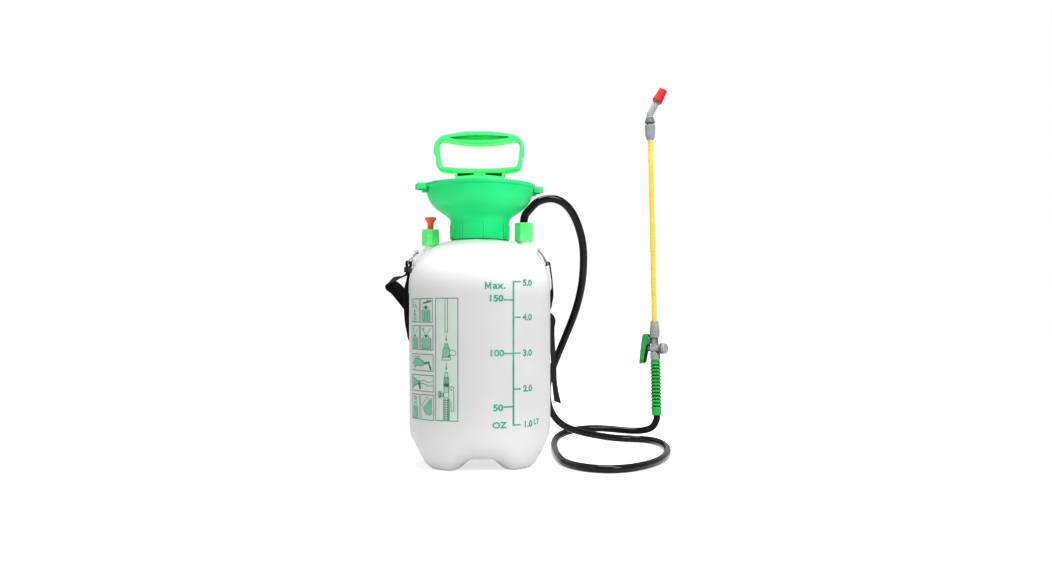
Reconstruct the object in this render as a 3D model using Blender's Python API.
"""Compression sprayer: a translucent tank with a filling funnel on its neck, a hand pump,
a pressure relief valve, a hose and a spray lance.
Lengths in this script are millimetres; objects are built in metres, +Z up.
Origin: on the tank's axis, at the flat centre of its underside.
+X (right) points to the outlet, -Y to the front, +Y to the back.
Heights are stated from the floor, UNDERSIDE below the origin; the last lines move all down by it."""

import math
import bpy
import bmesh
from mathutils import Matrix, Vector

MM = 0.001
GAP = 0.3             # air between two pieces that rest on each other

# ---- driving dimensions ----
TANK_R = 88.5         # outside radius of the tank
WALL = 2.0
TANK_TOP = 279.5      # where the dome meets the neck
UNDERSIDE = 14.0      # height of the flat centre of the underside above the floor
NECK_R, NECK_BORE, NECK_TOP = 31.0, 28.0, 298.4
RELIEF_X, RELIEF_NECK_TOP = -62.3, 280.0
OUTLET_X, OUTLET_NECK_TOP = 55.2, 287.7
LEFT_LUG, RIGHT_LUG = (-78.4, 265.6), (74.0, 268.0)   # (x, height) of the strap holes
STROKE_FLOOR = 107.0  # underside of the piston with the handle down
ROD_R = 6.0
ROD_TOP = 340.0
HANDLE_PIN_H = 330.0
HOSE_R, HOSE_BORE = 5.0, 3.5
HANDLE_TOP = 417.5
FUNNEL_TURN = 15.0    # degrees, the funnel's rest angle on its thread
FOOT_TURN = 5.0       # degrees, the four feet stand this far round from the diagonals

# tops of the stacked seals and flanges; the next piece up starts GAP above each
NECK_GASKET_TOP = 300.0
FUNNEL_RIM_TOP = 311.5
CAP_ORING_TOP = 313.1
PUMP_FLANGE_TOP = 314.8
RELIEF_GASKET_TOP = 281.2
OUTLET_GASKET_TOP = 288.9

# lance: a frame on the grip's lower end, its z up the lance
LANCE_FOOT = Vector((248.7, 189.0, 40.9))
LANCE_LEAN = 1.31     # degrees, towards -X
TRIGGER_YAW = 142.0   # degrees about the lance axis, from +X
VALVE_H = 97.0        # height of the cross valve above the grip's lower end
PIVOT_T, PIVOT_H = 7.6, 109.0    # trigger pivot: towards the trigger, and up
PIVOT_HOLE_R = 1.55
ELBOW_H = 435.0       # where the bend starts
ELBOW_BEND = 30.1     # degrees, towards +X
ELBOW_R = 12.0        # of the bend's centre line
NOSE = 18.7           # from the bend's end to the nozzle

for old in list(bpy.data.objects):
    bpy.data.objects.remove(old, do_unlink=True)


# ============================================================ frames
def at(x, y=0.0, z=0.0):
    return Matrix.Translation((x * MM, y * MM, z * MM))


def about(axis, degrees):
    return Matrix.Rotation(math.radians(degrees), 4, axis)


def elbow_side(turn):
    """Direction across the elbow's pipe, in its plane of bend, after turning by an angle."""
    return Vector((math.cos(turn), 0, -math.sin(turn)))


def elbow_centre(turn):
    return Vector((ELBOW_R * (1 - math.cos(turn)), 0, ELBOW_H + ELBOW_R * math.sin(turn)))


Y_AXIS = Vector((0, 1, 0))
BEND = math.radians(ELBOW_BEND)
BEND_END = elbow_centre(BEND)
NOSE_AXIS = Vector((math.sin(BEND), 0, math.cos(BEND)))
NOSE_POINT = BEND_END + NOSE_AXIS * NOSE

RELIEF = at(RELIEF_X)
OUTLET = at(OUTLET_X)
HANDLE_PIN = at(0, 0, HANDLE_PIN_H) @ about("X", 90)
LANCE = Matrix.Translation(LANCE_FOOT * MM) @ about("Y", -LANCE_LEAN)
GUN = LANCE @ about("Z", TRIGGER_YAW)                      # its x points to the trigger
CROSS_VALVE = GUN @ at(0, 0, VALVE_H) @ about("Y", 90)     # its z points to the trigger
PIVOT = GUN @ at(PIVOT_T, 0, PIVOT_H) @ about("X", 90)
NOZZLE = LANCE @ Matrix.Translation(NOSE_POINT * MM) @ about("Y", ELBOW_BEND)  # z outwards


# ============================================================ materials
def make_material(name, colour, roughness, metallic=0.0):
    made = bpy.data.materials.new(name)
    made.use_nodes = True
    inputs = made.node_tree.nodes["Principled BSDF"].inputs
    inputs["Base Color"].default_value = (*colour, 1)
    inputs["Roughness"].default_value = roughness
    inputs["Metallic"].default_value = metallic
    made.diffuse_color = (*colour, 1)
    return made


WHITE = make_material("tank_white", colour=(0.86, 0.86, 0.84), roughness=0.42)
PUMP_GREEN = make_material("pump_green", colour=(0.02, 0.62, 0.20), roughness=0.38)
NUT_GREEN = make_material("nut_green", colour=(0.10, 0.66, 0.22), roughness=0.40)
GRIP_GREEN = make_material("grip_green", colour=(0.01, 0.42, 0.10), roughness=0.45)
ORANGE = make_material("relief_orange", colour=(0.95, 0.20, 0.04), roughness=0.40)
RED = make_material("nozzle_red", colour=(0.72, 0.03, 0.03), roughness=0.38)
YELLOW = make_material("lance_yellow", colour=(0.90, 0.66, 0.03), roughness=0.35)
GREY = make_material("gun_grey", colour=(0.42, 0.42, 0.43), roughness=0.50)
BLACK = make_material("hose_black", colour=(0.012, 0.012, 0.012), roughness=0.25)
RUBBER = make_material("seal_rubber", colour=(0.02, 0.02, 0.02), roughness=0.7)
STEEL = make_material("steel", colour=(0.6, 0.6, 0.6), roughness=0.3, metallic=1.0)
WEBBING = make_material("webbing_black", colour=(0.015, 0.015, 0.015), roughness=0.85)
INNER = make_material("inner_plastic", colour=(0.75, 0.76, 0.75), roughness=0.45)


# ============================================================ solids
def finish(mesh, name, material, frame=Matrix(), sharp=35):
    """Turn a bmesh into an object; edges steeper than sharp degrees stay sharp."""
    bmesh.ops.remove_doubles(mesh, verts=mesh.verts, dist=1e-6)
    bmesh.ops.recalc_face_normals(mesh, faces=mesh.faces)
    data = bpy.data.meshes.new(name)
    mesh.to_mesh(data)
    mesh.free()
    if material:
        data.materials.append(material)
    data.shade_smooth()
    data.set_sharp_from_angle(angle=math.radians(sharp))
    made = bpy.data.objects.new(name, data)
    bpy.context.scene.collection.objects.link(made)
    made.matrix_world = frame
    return made


def turned(name, profile, material, seg, frame=Matrix()):
    """A profile of (radius, height) spun about its own z.
    The profile is closed, or open with both ends on the axis."""
    mesh = bmesh.new()
    verts = [mesh.verts.new((r * MM, 0, z * MM)) for r, z in profile]
    edges = [mesh.edges.new(pair) for pair in zip(verts, verts[1:])]
    if profile[0][0] != 0 or profile[-1][0] != 0:
        edges.append(mesh.edges.new((verts[-1], verts[0])))
    bmesh.ops.spin(mesh, geom=verts + edges, cent=(0, 0, 0), axis=(0, 0, 1),
                   angle=2 * math.pi, steps=seg, use_merge=True)
    return finish(mesh, name, material, frame)


def plug(name, radius, low, high, seg, frame=Matrix()):
    """A plain cylinder for a boolean."""
    return turned(name, [(0, low), (radius, low), (radius, high), (0, high)], None, seg, frame)


def washer(name, bore, radius, low, high, material, seg, frame=Matrix()):
    """A plain ring or tube."""
    profile = [(bore, low), (radius, low), (radius, high), (bore, high)]
    return turned(name, profile, material, seg, frame)


def prism(name, outline, low, high, material=None, axis="Z", frame=Matrix()):
    """An outline extruded from low to high: (x, y) along Z, or (x, z) along Y."""
    def place(first, second, along):
        return (first, along, second) if axis == "Y" else (first, second, along)

    mesh = bmesh.new()
    verts = [mesh.verts.new(tuple(v * MM for v in place(*point, low))) for point in outline]
    face = mesh.faces.new(verts)
    geometry = bmesh.ops.extrude_face_region(mesh, geom=[face])["geom"]
    moved = [part for part in geometry if isinstance(part, bmesh.types.BMVert)]
    bmesh.ops.translate(mesh, vec=Vector(place(0, 0, high - low)) * MM, verts=moved)
    return finish(mesh, name, material, frame)


def box(name, low, high, material=None, frame=Matrix()):
    """A box between two opposite corners."""
    outline = [(low[0], low[1]), (high[0], low[1]), (high[0], high[1]), (low[0], high[1])]
    return prism(name, outline, low[2], high[2], material, "Z", frame)


def eight_boxes(name, low, high, frame=Matrix(), start=0.0, tilt=0.0):
    """The same box eight times round z; name holds a {} for the index, angles are degrees."""
    return [box(name.format(k), low, high, None,
                frame @ about("Z", start + 45 * k) @ about("Y", tilt)) for k in range(8)]


def combine(target, operation, tools):
    """Give target one boolean modifier per tool."""
    for tool in tools:
        tool.hide_render = True
        tool.display_type = "WIRE"
        modifier = target.modifiers.new(operation.lower() + "_" + tool.name, "BOOLEAN")
        modifier.operation = operation
        modifier.solver = "EXACT"
        modifier.object = tool


def frames_along(path, closed=False):
    """(point, side, up) along a path, carried without twist."""
    count = len(path)
    tangents = []
    for i in range(count):
        before = path[(i - 1) % count] if closed or i else path[i]
        after = path[(i + 1) % count] if closed or i < count - 1 else path[i]
        tangents.append((after - before).normalized())
    side = tangents[0].orthogonal().normalized()
    frames = []
    for point, tangent in zip(path, tangents):
        side = (side - tangent * side.dot(tangent)).normalized()
        frames.append((point, side, tangent.cross(side)))
    return frames


def ring_at(mesh, station, radius, sides):
    centre, side, up = station
    angles = [2 * math.pi * k / sides for k in range(sides)]
    return [mesh.verts.new((centre + (side * math.cos(t) + up * math.sin(t)) * radius) * MM)
            for t in angles]


def skin(mesh, rings):
    """Quads between each ring and the next."""
    for a, b in zip(rings, rings[1:]):
        count = len(a)
        for k in range(count):
            mesh.faces.new((a[k], a[(k + 1) % count], b[(k + 1) % count], b[k]))


def cap_ends(mesh, rings):
    mesh.faces.new(rings[0][::-1])
    mesh.faces.new(rings[-1])


def swept_wire(name, path, radius, sides, closed=False, frame=Matrix()):
    """A steel wire along a path."""
    mesh = bmesh.new()
    rings = [ring_at(mesh, station, radius, sides) for station in frames_along(path, closed)]
    if closed:
        skin(mesh, rings + rings[:1])
    else:
        skin(mesh, rings)
        cap_ends(mesh, rings)
    return finish(mesh, name, STEEL, frame, 60)


def coil(name, radius, wire, low, high, turns, per_turn, frame):
    """A coil spring of four-sided wire, with per_turn steps in a turn."""
    steps = turns * per_turn
    path = []
    for k in range(steps + 1):
        angle = 2 * math.pi * k / per_turn
        path.append(Vector((radius * math.cos(angle), radius * math.sin(angle),
                            low + (high - low) * k / steps)))
    swept_wire(name, path, wire, 4, frame=frame)


# ============================================================ tank
TANK_SEG = 36
# outside of the base, from the centre outwards:
# (radius, height) at a foot, then (radius, height) at the valley between two feet
BASE = [(0, UNDERSIDE, 0, UNDERSIDE), (18, UNDERSIDE, 18, UNDERSIDE), (40, 10, 42, 14),
        (51, 1.5, 56, 14), (57.5, 0, 64, 14.6), (69, 0, 71, 17),
        (76.8, 4.5, 78, 23), (83.6, 17, 84.6, 32), (TANK_R, 33, TANK_R, 45)]
# how far the inside lies above and within each row of BASE, as shares of WALL
INSIDE_RISE = [1, 1, 1, 1, 1, 1, 0.6, 0.3, 0]
INSIDE_INSET = [0, 0, 0, 0, 1 / 3, 2 / 3, 1, 1, 1]
# (radius, height), upwards outside and then downwards inside
SHOULDER = [(TANK_R, 221), (87.4, 232), (84.2, 243), (79.0, 252.5), (71.5, 262), (62, 269.6),
            (49, 276), (NECK_R, TANK_TOP)]
NECK = [(NECK_R, 288), (32.8, 289.2), (32.8, 290.6), (NECK_R, 291.8), (NECK_R, NECK_TOP),
        (NECK_BORE, NECK_TOP)]
INSIDE = [(NECK_BORE, 277.4), (48.4, 274), (60.8, 267.7), (70, 260.3), (77.2, 251.2),
          (84.4, 234), (TANK_R - WALL, 221)]
PAD_INSET = 0.6     # the relief pad's top lies this far inwards and down from SHOULDER
# (x, height)
LEFT_LUG_OUTLINE = [(-84.6, 240.4), (-84.6, 268), (-82.6, 270), (-63, 270), (-61.4, 268.8),
                    (-70.7, 261.4), (-78.1, 252), (-83.2, 242.4)]
RIGHT_LUG_OUTLINE = [(80.6, 247.6), (80.6, 270), (78.6, 272), (58, 272), (57, 270.7),
                     (61.4, 268.8), (70.7, 261.4), (78.1, 252)]


def foot_share(angle):
    """0 in a valley between feet, 1 on a foot; four feet, near the diagonals."""
    off_valley = abs((math.degrees(angle) - FOOT_TURN + 45) % 90 - 45)
    share = min(1.0, max(0.0, (off_valley - 9) / 25.9))
    return share * share * (3 - 2 * share)


def base_rows(wall):
    """Rows of (radius, height) round the base; wall is 0 for its outside."""
    shares = [foot_share(2 * math.pi * k / TANK_SEG) for k in range(TANK_SEG)]
    return [[(valley_r + (foot_r - valley_r) * share - wall * inset,
              valley_z + (foot_z - valley_z) * share + wall * rise) for share in shares]
            for (foot_r, foot_z, valley_r, valley_z), rise, inset
            in zip(BASE, INSIDE_RISE, INSIDE_INSET)]


def tank_shell():
    """One skin, from the underside's centre over the neck's rim to the inside's centre."""
    round_rows = [[point] * TANK_SEG for point in SHOULDER + NECK + INSIDE]
    mesh = bmesh.new()
    rings = []
    for row in base_rows(0) + round_rows + base_rows(WALL)[::-1]:
        if row[0][0] == 0:
            rings.append([mesh.verts.new((0, 0, row[0][1] * MM))])
            continue
        ring = []
        for k, (r, z) in enumerate(row):
            angle = 2 * math.pi * k / TANK_SEG      # from the front towards +X
            ring.append(mesh.verts.new((r * math.sin(angle) * MM, -r * math.cos(angle) * MM,
                                        z * MM)))
        rings.append(ring)
    for a, b in zip(rings, rings[1:]):
        for k in range(TANK_SEG):
            q = (k + 1) % TANK_SEG
            corners = [a[k % len(a)], a[q % len(a)], b[q % len(b)], b[k % len(b)]]
            mesh.faces.new(list(dict.fromkeys(corners)))    # a triangle at the centres
    return finish(mesh, "tank", WHITE, sharp=40)


def lug_hole(name, hole):
    return plug(name, 2.3, -6, 6, 12, at(hole[0], 0, hole[1]) @ about("X", 90))


def build_tank():
    tank = tank_shell()
    # the relief valve stands in a recess; its pad is trimmed to the shoulder's own curve
    pad = plug("relief_pad_add", 14.2, 264, 285, 24, RELIEF)
    inset = [(r - PAD_INSET, z - PAD_INSET) for r, z in SHOULDER[1:]]
    limit = turned("relief_pad_limit", [(0, 230)] + inset + [(0, TANK_TOP - PAD_INSET)], None, 36)
    combine(pad, "INTERSECT", [limit])
    combine(tank, "UNION", [pad])
    combine(tank, "DIFFERENCE",
            [washer("relief_recess_cut", 7.6, 12.0, 273.6, 293, None, 24, RELIEF)])
    combine(tank, "UNION", [
        plug("relief_neck_add", 7.5, 256, RELIEF_NECK_TOP, 20, RELIEF),
        plug("outlet_neck_add", 8.2, 256, OUTLET_NECK_TOP, 20, OUTLET),
        prism("left_lug_add", LEFT_LUG_OUTLINE, -2.2, 2.2, axis="Y"),
        prism("right_lug_add", RIGHT_LUG_OUTLINE, -2.2, 2.2, axis="Y")])
    combine(tank, "DIFFERENCE", [
        plug("relief_bore_cut", 5.2, 240, 300, 16, RELIEF),
        plug("outlet_bore_cut", 6.0, 240, 300, 16, OUTLET),
        lug_hole("left_lug_cut", LEFT_LUG),
        lug_hole("right_lug_cut", RIGHT_LUG)])


# ============================================================ funnel and its gasket
# (radius, height), up the outside and then down the inside
FUNNEL_OUT = [(36.6, 280.5), (36.6, 301.5), (37.4, 305.4), (40.2, 309.4), (56.4, 320.8),
              (62.4, 328.0), (66.0, 336.0), (67.5, 344.8), (69.8, 345.4), (69.8, 349.6)]
FUNNEL_IN = [(67.2, 349.6), (66.0, 345), (63.9, 336.8), (60.4, 329.4), (54.7, 322.8),
             (38.6, 311.4), (34.9, 304.0), (28.2, 304.0), (28.2, FUNNEL_RIM_TOP),
             (25.0, FUNNEL_RIM_TOP), (25.0, NECK_GASKET_TOP + GAP),
             (33.9, NECK_GASKET_TOP + GAP), (33.9, 280.5)]
# (radial distance, height)
FUNNEL_TAB = [(67.6, 342.6), (79.8, 342.6), (80.5, 343.4), (80.5, 349.2), (79.8, 349.8),
              (67.6, 349.8)]


def build_funnel():
    """The funnel, ribbed round its collar, with a hollow tab and a hook on two sides."""
    washer("neck_gasket", 28.6, 32.6, NECK_TOP + GAP, NECK_GASKET_TOP, RUBBER, 20)
    funnel = turned("funnel", FUNNEL_OUT + FUNNEL_IN, PUMP_GREEN, 36)
    ribs = eight_boxes("funnel_rib_{}_add", (35.8, -0.9, 281.5), (37.8, 0.9, 300.5), start=11)
    tabs, hollows, hooks = [], [], []
    for k in range(2):
        frame = about("Z", 180 * k + FUNNEL_TURN)
        tabs.append(prism(f"funnel_tab_{k}_add", FUNNEL_TAB, -10, 10, None, "Y", frame))
        hollows.append(box(f"funnel_tab_{k}_cut", (70.6, -7.8, 341.0), (78.2, 7.8, 347.2),
                           None, frame))
        hooks.append(box(f"funnel_hook_{k}_add", (65.6, -3.5, 338.4), (73.2, 3.5, 347.6),
                         None, frame))
    combine(funnel, "UNION", ribs + tabs)
    combine(funnel, "DIFFERENCE", hollows)
    combine(funnel, "UNION", hooks)


# ============================================================ pump
PORT_X = 8.0    # from the axis to the centre of each inlet port


def build_cylinder():
    """The pump cylinder with four ports in its floor, its O-ring and its check valve."""
    washer("cap_oring", 25.3, 27.6, FUNNEL_RIM_TOP + GAP, CAP_ORING_TOP, RUBBER, 20)
    flange_low = CAP_ORING_TOP + GAP
    cylinder = turned("pump_cylinder", [
        (20, 96), (20, flange_low), (27.4, flange_low), (27.4, PUMP_FLANGE_TOP),
        (18, PUMP_FLANGE_TOP), (18, 100), (2.2, 100), (2.2, 96)], INNER, 24)
    ports = []
    for k in range(4):
        angle = k * math.pi / 2
        frame = at(PORT_X * math.cos(angle), PORT_X * math.sin(angle))
        ports.append(plug(f"port_{k}_cut", 2.4, 90, 104, 10, frame))
    combine(cylinder, "DIFFERENCE", ports)
    turned("check_valve", [(0, 93.6), (4, 93.9), (13, 94.4), (13, 95.6), (1.8, 95.6),
                           (1.8, 102.4), (3.0, 102.4), (2.2, 104.2), (0, 104.2)], RUBBER, 20)


def build_cap():
    """The pump cap, with two dogs on top and flutes round its side."""
    ceiling = PUMP_FLANGE_TOP + GAP
    cap = turned("pump_cap", [(32, 304.6), (32, 316), (30.6, 318), (6.5, 318), (6.5, 304),
                              (9, 304), (9, ceiling), (28.7, ceiling), (28.7, 304.6)],
                 PUMP_GREEN, 24)
    combine(cap, "UNION", [box("dog_0_add", (18, -4, 316.5), (24, 4, 324)),
                           box("dog_1_add", (-24, -4, 316.5), (-18, 4, 324))])
    combine(cap, "DIFFERENCE",
            eight_boxes("cap_flute_{}_cut", (31, -1.6, 300), (34, 1.6, 314), start=22.5))


# (radius, height above STROKE_FLOOR)
PISTON = [(0, 0), (16.6, 0), (17.4, 1), (17.4, 3.6), (14.2, 3.6), (14.2, 8.4), (17.4, 8.4),
          (17.4, 11), (10, 13.5), (9, 17), (6.35, 17), (6.35, 4.6), (0, 4.6)]
PISTON_SEAL = [(14.5, 4), (16.6, 4), (17.85, 5), (17.85, 7.2), (16.6, 8.1), (14.5, 8.1)]


def build_piston():
    """The piston head with its seal, the hollow rod and the pin that holds the handle."""
    turned("piston_head", [(r, STROKE_FLOOR + z) for r, z in PISTON], INNER, 20)
    turned("piston_seal", [(r, STROKE_FLOOR + z) for r, z in PISTON_SEAL], RUBBER, 20)
    rod_low = STROKE_FLOOR + 5
    rod = turned("piston_rod", [(ROD_R, rod_low), (ROD_R, ROD_TOP), (4.2, ROD_TOP),
                                (4.2, rod_low)], INNER, 20)
    combine(rod, "DIFFERENCE", [plug("rod_pin_cut", 1.9, -12, 12, 12, HANDLE_PIN)])
    turned("handle_pin", [(0, -9.6), (1.2, -9.6), (1.5, -9.2), (1.5, 9.2), (1.2, 9.6), (0, 9.6)],
           STEEL, 12, HANDLE_PIN)


# ---- handle outlines, all (x, height)
LOOP_OUT = [
    (-46, 411.5), (-50, 409), (-54, 404.5), (-56.8, 399), (-57.4, 393), (-57.2, 389),
    (-54.8, 384), (-54.2, 376), (-53, 371.5), (-49.5, 368.2), (-44, 366.8), (-33.5, 366),
    (33.5, 366), (43.5, 367), (48.7, 368.6), (52, 372), (53.1, 376.5), (53.7, 384),
    (55.8, 389), (56.0, 393), (55.4, 399), (52.8, 405), (49, 409.5), (45, 412),
    (30, 415.2), (15, 417), (0, HANDLE_TOP), (-15, 417), (-30, 414.8)]
LOOP_IN = [
    (-47.5, 405), (-38, 404), (-20, 401), (0, 400), (20, 401), (37.5, 404.2),
    (46.5, 405.4), (49.6, 402.5), (50.2, 397), (49.5, 389), (48.2, 380), (47.1, 375),
    (44.3, 372.3), (37.5, 371.4), (20, 370.2), (0, 369.8), (-20, 370.2), (-38, 371.4),
    (-45, 372.3), (-48, 375), (-49.2, 380), (-50.6, 389), (-51.4, 397), (-50.8, 402.5)]
HANDLE_FOOT = [(-33.5, 367), (33.5, 367), (30, 360), (29.2, 352), (29.2, 319), (-29.2, 319),
               (-29.2, 352), (-30, 360)]
# hollows in the grip's front and back
LENS = [(-37.5, 407.8), (-20, 405.4), (0, 404.6), (20, 405.4), (37.5, 408.6), (20, 410.8),
        (0, 411.6), (-20, 410.6)]
# blind pockets in the foot's front and back; this is the left one
POCKET = [(-27.4, 359.4), (-7, 361.6), (-7, 363.4), (-28.4, 363.4)]


def build_handle():
    """A closed loop with a thicker grip, on a hollow foot that stands over the pump cap."""
    handle = prism("handle", LOOP_OUT, -12, 12, PUMP_GREEN, "Y")
    combine(handle, "UNION", [prism("handle_foot_add", HANDLE_FOOT, -13, 13, axis="Y")])
    cuts = [prism("handle_loop_cut", LOOP_IN, -20, 20, axis="Y"),
            box("handle_foot_cut", (-26.4, -10.2, 300), (26.4, 10.2, 352)),
            prism("grip_front_cut", LENS, -20, -3.2, axis="Y"),
            prism("grip_back_cut", LENS, 3.2, 20, axis="Y")]
    mirrored = [(-x, z) for x, z in POCKET][::-1]
    for k, (near, far) in enumerate(((-20, -4), (4, 20))):
        cuts += [prism(f"foot_left_{k}_cut", POCKET, near, far, axis="Y"),
                 prism(f"foot_right_{k}_cut", mirrored, near, far, axis="Y")]
    combine(handle, "DIFFERENCE", cuts)
    combine(handle, "UNION", [plug("handle_socket_add", 10.4, 325.5, 354, 20)])
    combine(handle, "DIFFERENCE", [plug("handle_socket_cut", ROD_R + GAP, 300, 340.4, 20),
                                   plug("handle_pin_cut", 1.8, -20, 20, 12, HANDLE_PIN)])


# ============================================================ union nuts
def union_nut(name, frame, flat, low, high, bore, ceiling, hole):
    """An octagonal nut, flat across its flats, one of them towards -Y: a cavity of radius bore
    up to ceiling, and a hole through its top."""
    corner = flat / 2 / math.cos(math.pi / 8)
    angles = [math.pi / 8 + k * math.pi / 4 for k in range(8)]
    octagon = [(corner * math.cos(t), corner * math.sin(t)) for t in angles]
    made = prism(name, octagon, low, high, NUT_GREEN, "Z", frame)
    # the limit bevels the corners at both ends
    wide = corner * 1.06
    limit = turned(name + "_cone", [
        (0, low - 1), (corner * 0.97, low - 1), (wide, low + 1.6), (wide, high - 1.8),
        (corner * 0.92, high + 1), (0, high + 1)], None, 32, frame)
    combine(made, "INTERSECT", [limit])
    cavity = turned(name + "_bore_cut", [(0, low - 5), (bore, low - 5), (bore, ceiling),
                                         (hole, ceiling), (hole, high + 5), (0, high + 5)],
                    None, 20, frame)
    combine(made, "DIFFERENCE", [cavity])


# ============================================================ pressure relief valve
def build_relief():
    union_nut("relief_nut", RELIEF, flat=20.8, low=274.0, high=294.0, bore=8.0,
              ceiling=291.8, hole=4.1)
    washer("relief_gasket", 5.3, 7.4, RELIEF_NECK_TOP + GAP, RELIEF_GASKET_TOP, RUBBER, 20,
           RELIEF)
    flange_low = RELIEF_GASKET_TOP + GAP
    turned("relief_seat", [(2.2, 258), (4.9, 258), (4.9, flange_low), (7.4, flange_low),
                           (7.4, 283.1), (2.2, 283.1)], INNER, 20, RELIEF)
    turned("relief_seal", [(0, 283.3), (3.6, 283.3), (3.6, 284.5), (0, 284.5)], RUBBER, 16,
           RELIEF)
    turned("relief_pull", [
        (0, 284.8), (5.3, 284.8), (5.3, 286.2), (3.75, 286.2), (3.75, 300.4), (4.3, 302.9),
        (5.6, 305.4), (7.1, 306.9), (7.3, 308.7), (6.7, 309.4), (0, 309.4)], ORANGE, 16, RELIEF)
    coil("relief_spring", radius=4.75, wire=0.4, low=286.9, high=291.2, turns=3, per_turn=10,
         frame=RELIEF)


# ============================================================ outlet, dip tube and hose
def build_outlet():
    union_nut("outlet_nut", OUTLET, flat=22.6, low=279.3, high=302.2, bore=8.6,
              ceiling=294.2, hole=5.5)
    washer("outlet_gasket", 6.1, 8.2, OUTLET_NECK_TOP + GAP, OUTLET_GASKET_TOP, RUBBER, 20,
           OUTLET)
    flange_low = OUTLET_GASKET_TOP + GAP
    turned("outlet_fitting", [
        (1.6, 246), (2.8, 246), (2.8, 262), (5.6, 263), (5.6, flange_low), (8.2, flange_low),
        (8.2, 291.0), (2.9, 291.0), (2.9, 294.7), (3.1, 295.7), (2.9, 299.7), (2.5, 302.7),
        (1.6, 302.7)], INNER, 14, OUTLET)
    washer("dip_tube", 3.0, 4.2, 36, 261.5, INNER, 16, OUTLET)
    turned("strainer", [(0, 20.5), (6.5, 20.5), (7.0, 22), (7.0, 33), (4.5, 40), (4.5, 46),
                        (4.4, 46), (4.4, 35.6), (0, 35.6)], PUMP_GREEN, 16, OUTLET)


# centre line (x, y, height), from the outlet down behind the tank and over the floor to the lance
HOSE_POINTS = [
    (OUTLET_X, 0, 291.4), (OUTLET_X, 0, 304), (57.2, 0, 313), (63.9, 1, 321), (72.5, 3, 329.4),
    (87.5, 5, 334), (102.5, 9, 331), (115, 14, 320), (124.5, 20, 302), (131.3, 30, 278),
    (132.8, 40, 252), (131, 55, 224), (124, 72, 192), (111.5, 88, 158), (99, 101, 126),
    (88.5, 116, 94), (89, 131, 66), (96.5, 144, 45), (112, 155, 29), (134, 166, 19.5),
    (160, 177, 12.5), (190, 188, 7.0), (218, 192, 5.4), (238, 180, 5.3), (249, 150, 5.3),
    (250, 95, 5.3), (240, 35, 5.3), (220, -20, 5.3), (190, -62, 5.3), (160, -78, 5.3),
    (130, -68, 5.3), (107, -32, 5.3), (99.5, 20, 5.3), (97, 75, 5.5), (97, 125, 7.5),
    (104, 165, 12.5), (122, 192, 17), (150, 206, 19), (178, 211, 18), (206, 210, 15.5),
    (228, 203, 16.0), (243, 194, 22)]
HOSE_SIDES = 8
HOSE_TOP_H = -5.2     # end of the centre line, along the lance from the grip's lower end


def build_hose():
    """A tube with a closed, domed upper end, and a separate length inside the grip."""
    up = (LANCE.to_3x3() @ Vector((0, 0, 1))).normalized()
    top = LANCE @ Vector((0, 0, HOSE_TOP_H * MM)) / MM
    stations = frames_along([Vector(point) for point in HOSE_POINTS] + [top])
    _, side, across = stations[-1]
    mesh = bmesh.new()
    outer = [ring_at(mesh, station, HOSE_R, HOSE_SIDES) for station in stations]
    for degrees in (30, 60):
        angle = math.radians(degrees)
        station = (top + up * (HOSE_R * math.sin(angle)), side, across)
        outer.append(ring_at(mesh, station, HOSE_R * math.cos(angle), HOSE_SIDES))
    skin(mesh, outer)
    tip = mesh.verts.new((top + up * HOSE_R) * MM)
    for k in range(HOSE_SIDES):
        mesh.faces.new((outer[-1][k], outer[-1][(k + 1) % HOSE_SIDES], tip))
    inner = [ring_at(mesh, station, HOSE_BORE, HOSE_SIDES) for station in stations[:-2]]
    skin(mesh, inner[::-1])
    skin(mesh, [inner[0], outer[0]])
    mesh.faces.new(inner[-1])
    finish(mesh, "hose", BLACK, sharp=60)
    washer("hose_end", HOSE_BORE, HOSE_R, 1.6, 25, BLACK, 16, LANCE)


# ============================================================ lance: grip and valve body
GRIP_GROOVES, GRIP_PITCH = 14, 5.0
GRIP_RIBS_LOW, GRIP_TOP = 11.4, 80.4
GRIP_BORE, GROOVE_R, RIDGE_R = 5.4, 6.4, 8.05


def build_grip():
    profile = [(6.4, 0), (7.1, 0.8), (7.3, 9.6), (8.0, 10.4), (8.0, GRIP_RIBS_LOW)]
    for k in range(GRIP_GROOVES):
        z = GRIP_RIBS_LOW + k * GRIP_PITCH
        profile += [(GROOVE_R, z + 1.5), (RIDGE_R, z + 4.2)]
    # the last groove runs on to the top, without a ridge
    profile[-1] = (GROOVE_R, GRIP_TOP)
    profile += [(GRIP_BORE, GRIP_TOP), (GRIP_BORE, 0)]
    turned("grip", profile, GRIP_GREEN, 16, LANCE)


def build_gun_body():
    """The body above the grip, with the cross valve's housing and the trigger's ear."""
    body = turned("gun_body", [
        (1.8, 6), (2.9, 6), (3.2, 10), (2.9, 25.4), (4.9, 25.4), (4.9, 80.8), (7.2, 80.8),
        (7.2, 91), (5.4, 93), (5.4, 104), (5.0, 104), (5.0, 112), (4.6, 112), (4.6, 124),
        (1.8, 124)], GREY, 16, LANCE)
    combine(body, "UNION", [
        turned("gun_cross_add", [(0, -13.5), (4.6, -13.5), (4.6, -9), (5.6, -8.6), (5.6, 5.5),
                                 (4.4, 6), (4.4, 10.5), (0, 10.5)], None, 20, CROSS_VALVE),
        box("gun_ear_add", (2.0, -3.6, 105.6), (10.4, 3.6, 112.2), None, GUN)])
    combine(body, "DIFFERENCE", [
        turned("gun_cross_cut", [(0, -20), (3.2, -20), (3.2, 4.6), (1.65, 4.6), (1.65, 20),
                                 (0, 20)], None, 16, CROSS_VALVE),
        plug("gun_pin_cut", PIVOT_HOLE_R, -9, 9, 12, PIVOT)])


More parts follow.
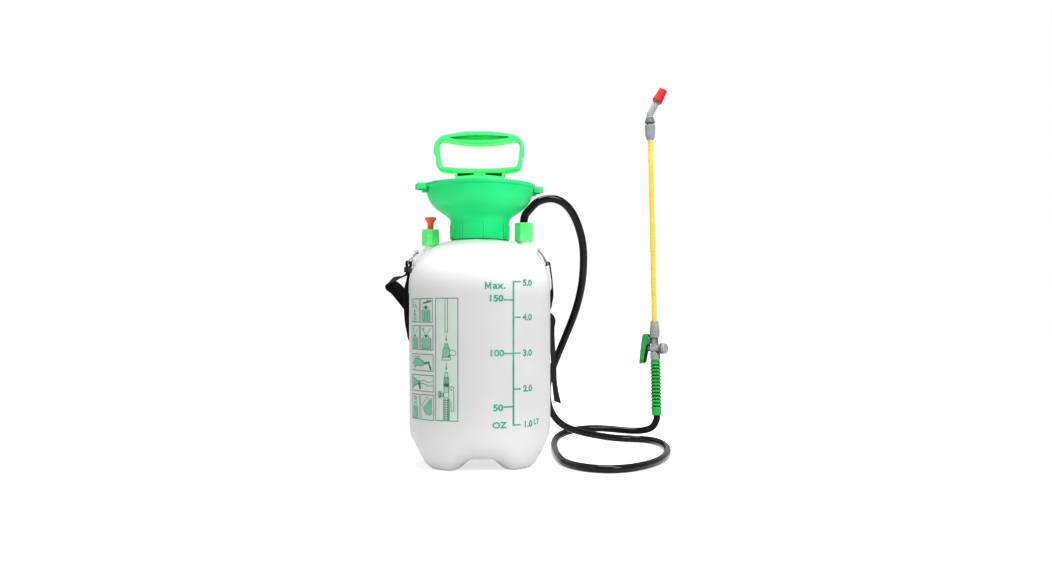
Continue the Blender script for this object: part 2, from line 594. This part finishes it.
def build_cross_valve():
    turned("valve_stem", [
        (0, -3.6), (1.3, -3.6), (1.3, -2.2), (2.7, -2.2), (2.7, -0.6), (1.4, -0.6), (1.4, 18.2),
        (1.0, 18.7), (0, 18.7)], STEEL, 12, CROSS_VALVE)
    washer("valve_seal", 1.6, 2.9, -0.3, 0.9, RUBBER, 14, CROSS_VALVE)
    coil("valve_spring", radius=2.25, wire=0.35, low=-13.6, high=-3.0, turns=5, per_turn=8,
         frame=CROSS_VALVE)
    knob = turned("valve_cap", [
        (0, -18.2), (7.0, -18.2), (7.9, -17.2), (7.9, -9.8), (7.2, -9.2), (4.9, -9.2),
        (4.9, -14.5), (0, -14.5)], GREY, 20, CROSS_VALVE)
    combine(knob, "DIFFERENCE",
            eight_boxes("knob_flute_{}_cut", (7.3, -0.7, -20), (9, 0.7, -11), CROSS_VALVE))


# (towards the trigger, up the lance)
TRIGGER_SIDE = [(16.4, 118.2), (17.9, 116.2), (24.2, 76.0), (23.2, 74.2), (18.2, 76.2),
                (13.2, 98.0), (10.6, 103.5), (5.2, 105.6), (4.2, 109.0), (5.4, 112.6),
                (9.4, 117.2)]
TRIGGER_HOLLOW = [(15.2, 121.0), (16.3, 116.0), (22.2, 77.4), (21.4, 70.0), (0.0, 70.0),
                  (0.0, 121.0)]


def build_trigger():
    """A channel whose side walls reach back to the pivot pin."""
    trigger = prism("trigger", TRIGGER_SIDE, -5.7, 5.7, GRIP_GREEN, "Y", GUN)
    combine(trigger, "DIFFERENCE", [
        prism("trigger_hollow_cut", TRIGGER_HOLLOW, -4.1, 4.1, None, "Y", GUN),
        plug("trigger_pin_hole_cut", PIVOT_HOLE_R, -9, 9, 12, PIVOT)])
    turned("trigger_pin", [(0, -6.7), (2.2, -6.7), (2.2, -6.0), (1.25, -6.0), (1.25, 6.2),
                           (0.9, 6.6), (0, 6.6)], STEEL, 12, PIVOT)


# ============================================================ lance: tube, nuts, elbow, nozzle
def build_lance_tube():
    """The tube, with a fluted nut and a seal at each end."""
    washer("lance_seal", 3.2, 5.0, 124.4, 125.8, RUBBER, 16, LANCE)
    lower = turned("lance_nut", [
        (5.4, 112.8), (7.0, 112.8), (7.2, 113.6), (7.2, 123), (6.6, 128), (5.4, 137),
        (3.75, 137), (3.75, 129), (5.4, 127)], GREY, 20, LANCE)
    combine(lower, "DIFFERENCE",
            eight_boxes("lance_nut_{}_cut", (6.75, -0.6, 111), (9, 0.6, 122), LANCE))
    washer("lance_tube", 2.2, 3.5, 126.2, 418, YELLOW, 16, LANCE)
    upper = turned("nozzle_nut", [
        (3.75, 402), (5.3, 402), (6.9, 407.5), (7.6, 422.4), (7.3, 423.4), (5.4, 423.4),
        (5.4, 412), (3.75, 409)], GREY, 20, LANCE)
    combine(upper, "DIFFERENCE",
            eight_boxes("nozzle_nut_{}_cut", (7.0, -0.6, 411), (9, 0.6, 425), LANCE))
    washer("elbow_seal", 3.6, 5.1, 412.6, 414.0, RUBBER, 16, LANCE)


ELBOW_SIDES, ELBOW_STEPS = 12, 4
PIPE_R, WATERWAY_R = 4.8, 2.0
# (height, radius) on the lance's axis
ELBOW_LOW_OUT = [(414.4, 5.1), (425.2, 5.1), (426.2, 7.0), (427.2, 7.4), (431, 6.0), (434, 5.1)]
ELBOW_LOW_IN = [(414.4, 3.75), (419, 3.75), (419.2, WATERWAY_R), (434, WATERWAY_R)]
# (distance out from the nose point, radius)
ELBOW_NOSE_OUT = [(-4.4, 4.6), (-2.2, 6.0), (-0.6, 6.2), (-0.5, 4.6), (7.4, 4.6)]
ELBOW_NOSE_IN = [(2.0, WATERWAY_R), (2.2, 3.0), (7.4, 3.0)]


def build_elbow():
    """One skin: socket over the tube, skirt, bent pipe and nose, with the waterway through it."""
    bent = []
    for k in range(ELBOW_STEPS + 1):
        turn = BEND * k / ELBOW_STEPS
        bent.append((elbow_centre(turn), elbow_side(turn), Y_AXIS))
    end_side = elbow_side(BEND)
    bent.append((BEND_END + NOSE_AXIS * 6, end_side, Y_AXIS))
    mesh = bmesh.new()

    def wall(low, pipe_r, nose):
        stations = [((Vector((0, 0, z)), Vector((1, 0, 0)), Y_AXIS), r) for z, r in low]
        stations += [(station, pipe_r) for station in bent]
        stations += [((NOSE_POINT + NOSE_AXIS * d, end_side, Y_AXIS), r) for d, r in nose]
        return [ring_at(mesh, station, r, ELBOW_SIDES) for station, r in stations]

    outer = wall(ELBOW_LOW_OUT, PIPE_R, ELBOW_NOSE_OUT)
    inner = wall(ELBOW_LOW_IN, WATERWAY_R, ELBOW_NOSE_IN)
    skin(mesh, outer)
    skin(mesh, inner[::-1])
    skin(mesh, [inner[0], outer[0]])
    skin(mesh, [outer[-1], inner[-1]])
    finish(mesh, "nozzle_elbow", GREY, LANCE, 40)


def build_nozzle():
    turned("nozzle_core", [(0, 2.6), (2.6, 2.6), (2.6, 8.0), (1.8, 12.5), (0, 12.5)], INNER, 14,
           NOZZLE)
    cap = turned("nozzle_cap", [
        (4.9, 0), (6.9, 0), (7.4, 0.8), (5.95, 19.2), (5.4, 20), (1.0, 20), (1.0, 16.5),
        (3.4, 13), (4.9, 12.0)], RED, 16, NOZZLE)
    # the flutes lean in with the cap's taper
    combine(cap, "DIFFERENCE", eight_boxes("nozzle_flute_{}_cut", (6.75, -0.5, -1),
                                           (9, 0.5, 16.5), NOZZLE, tilt=-4.4))


# ============================================================ carrying strap
WIRE_R = 1.1
LINK_HALF = 13.0      # half the length of a link's bar
BAND_T, BAND_W = 1.4, 21.0
BAND_SLANT = 3.5      # the free end's corners lie this far before and beyond its centre
LEFT_BAR, RIGHT_BAR = (-89.6, 0, 251.6), (85.6, 0, 250.0)


def wire_link(name, hole, bar):
    """A wire triangle: its apex runs through the lug's hole, its long side is the bar that
    carries the webbing."""
    apex = Vector((hole[0], 0, hole[1]))
    bar = Vector(bar)
    down = (bar - apex).normalized()
    neck = apex + down * 3.4
    shoulder = bar - down * 2.2
    corners = [apex - Y_AXIS * 3.0, apex + Y_AXIS * 3.0,
               neck + Y_AXIS * 6.2, shoulder + Y_AXIS * LINK_HALF,
               bar + Y_AXIS * (LINK_HALF - 2), bar - Y_AXIS * (LINK_HALF - 2),
               shoulder - Y_AXIS * LINK_HALF, neck - Y_AXIS * 6.2]
    loop = []
    for corner, following in zip(corners, corners[1:] + corners[:1]):
        loop += [corner, (corner + following) / 2]
    swept_wire(name, loop, WIRE_R, 6, closed=True)


# (centre, width direction): the right link, behind the tank, the fold at the left,
# the left link, and back behind the tank to the free end
STRAP = [
    ((83.4, 0, 248.4), (0, 1, 0)), ((83.2, 0, 250.7), (0, 1, 0)),
    ((84.6, 0, 252.5), (0, 1, 0)), ((87.1, 0, 252.2), (0, 1, 0)),
    ((88.1, 0, 249.4), (0, 1, 0)), ((88.4, 0, 246.0), (0, 1, 0)),
    ((89.6, 0.5, 238), (0, 1, 0)), ((91.0, 3, 226), (0, 1, 0.1)),
    ((91.0, 14, 212), (-0.1, 1, 0.3)), ((84.0, 38, 200), (-0.4, 0.75, 0.6)),
    ((66, 69, 192), (-0.1, 0.2, 1)), ((36, 89, 188), (0, 0, 1)),
    ((0, 97, 186), (0, 0, 1)), ((-36, 90.5, 184), (0, 0, 1)),
    ((-66, 72, 184), (0.1, 0.2, 1)), ((-83.5, 51, 189), (0.3, 0.45, 0.85)),
    ((-92, 34.5, 198), (0.42, 0.55, 0.75)), ((-99.5, 22.5, 209.5), (0.45, 0.55, 0.7)),
    ((-107.8, 14.5, 219.6), (0.42, 0.66, 0.62)), ((-114.4, 10.5, 225.2), (0.40, 0.70, 0.58)),
    ((-114.6, 8.5, 228.8), (0.38, 0.73, 0.56)), ((-110.6, 6.5, 230.8), (0.32, 0.8, 0.45)),
    ((-103.8, 4, 232.6), (0.2, 0.9, 0.3)), ((-97.3, 1.5, 234.8), (0.08, 1, 0.12)),
    ((-92.5, 0.2, 238.0), (0, 1, 0)), ((-91.7, 0, 240.5), (0, 1, 0)),
    ((-91.4, 0, 246.0), (0, 1, 0)), ((-92.2, 0, 249.6), (0, 1, 0)),
    ((-91.8, 0, 253.0), (0, 1, 0)), ((-89.6, 0, 254.3), (0, 1, 0)),
    ((-87.4, 0, 253.0), (0, 1, 0)), ((-87.1, 0, 249.6), (0, 1, 0)),
    ((-88.4, 0, 246.0), (0, 1, 0)), ((-89.2, 0, 240.5), (0, 1, 0)),
    ((-90.0, 0, 236.0), (0, 1, 0)), ((-91.0, 0, 230.0), (0, 1, 0)),
    ((-92.4, 1, 222), (0.08, 1, 0)), ((-93.2, 3, 208), (0.14, 1, 0)),
    ((-93.2, 7, 192), (0.16, 1, 0.1)), ((-92.6, 15, 174), (0.1, 0.95, 0.3)),
    ((-88, 32, 156), (0.2, 0.7, 0.7)), ((-70, 63, 144), (0.1, 0.2, 1)),
    ((-38, 86, 142), (0, 0, 1)), ((0, 94, 143), (0, 0, 1)),
    ((36, 88.5, 158), (-0.15, 0, 1)), ((62, 79, 172), (-0.2, 0.05, 1)),
    ((79, 70, 182), (0.30, 0.15, 0.94)), ((88.5, 63, 179), (0.42, 0.70, 0.55)),
    ((91.6, 59, 164), (0.33, 0.92, 0.2)), ((93.6, 55.5, 136), (0.31, 0.95, 0.05)),
    ((94.6, 54, 118), (0.32, 0.94, 0)), ((95.4, 52, 100), (0.3, 0.95, 0)),
    ((97.4, 51, 84), (0.34, 0.94, 0)), ((99.6, 51, 72), (0.4, 0.9, 0))]


def build_webbing():
    """One flat band; its free end is cut at a slant."""
    mesh = bmesh.new()
    rings = []
    last = len(STRAP) - 1
    for i, (centre, width) in enumerate(STRAP):
        centre = Vector(centre)
        width = Vector(width).normalized()
        before = Vector(STRAP[max(i - 1, 0)][0])
        after = Vector(STRAP[min(i + 1, last)][0])
        along = (after - before).normalized()
        width = (width - along * width.dot(along)).normalized()
        normal = along.cross(width)
        slant = BAND_SLANT if i == last else 0.0
        rings.append([
            mesh.verts.new((centre + width * across * BAND_W / 2 + normal * out * BAND_T / 2
                            + along * across * slant) * MM)
            for across, out in ((-1, -1), (1, -1), (1, 1), (-1, 1))])
    skin(mesh, rings)
    cap_ends(mesh, rings)
    bmesh.ops.triangulate(mesh, faces=mesh.faces)
    finish(mesh, "strap", WEBBING, sharp=40)


def build_slider():
    """The sleeve round both layers of the webbing, below the left link."""
    frame = at(-90.2, 0, 243.2) @ about("Y", 5.7)
    slider = box("strap_slider", (-3.8, -13.4, -3.2), (3.8, 13.4, 3.2), BLACK, frame)
    combine(slider, "DIFFERENCE",
            [box("slider_cut", (-2.7, -11.6, -9), (2.7, 11.6, 9), None, frame)])


# ============================================================ assembly
build_tank()
build_funnel()
build_cylinder()
build_cap()
build_piston()
build_handle()
build_relief()
build_outlet()
build_hose()
build_grip()
build_gun_body()
build_cross_valve()
build_trigger()
build_lance_tube()
build_elbow()
build_nozzle()
wire_link("strap_link_left", LEFT_LUG, LEFT_BAR)
wire_link("strap_link_right", RIGHT_LUG, RIGHT_BAR)
build_webbing()
build_slider()

# heights so far are above the floor; the frame's origin is on the underside
for piece in bpy.data.objects:
    piece.matrix_world = at(0, 0, -UNDERSIDE) @ piece.matrix_world
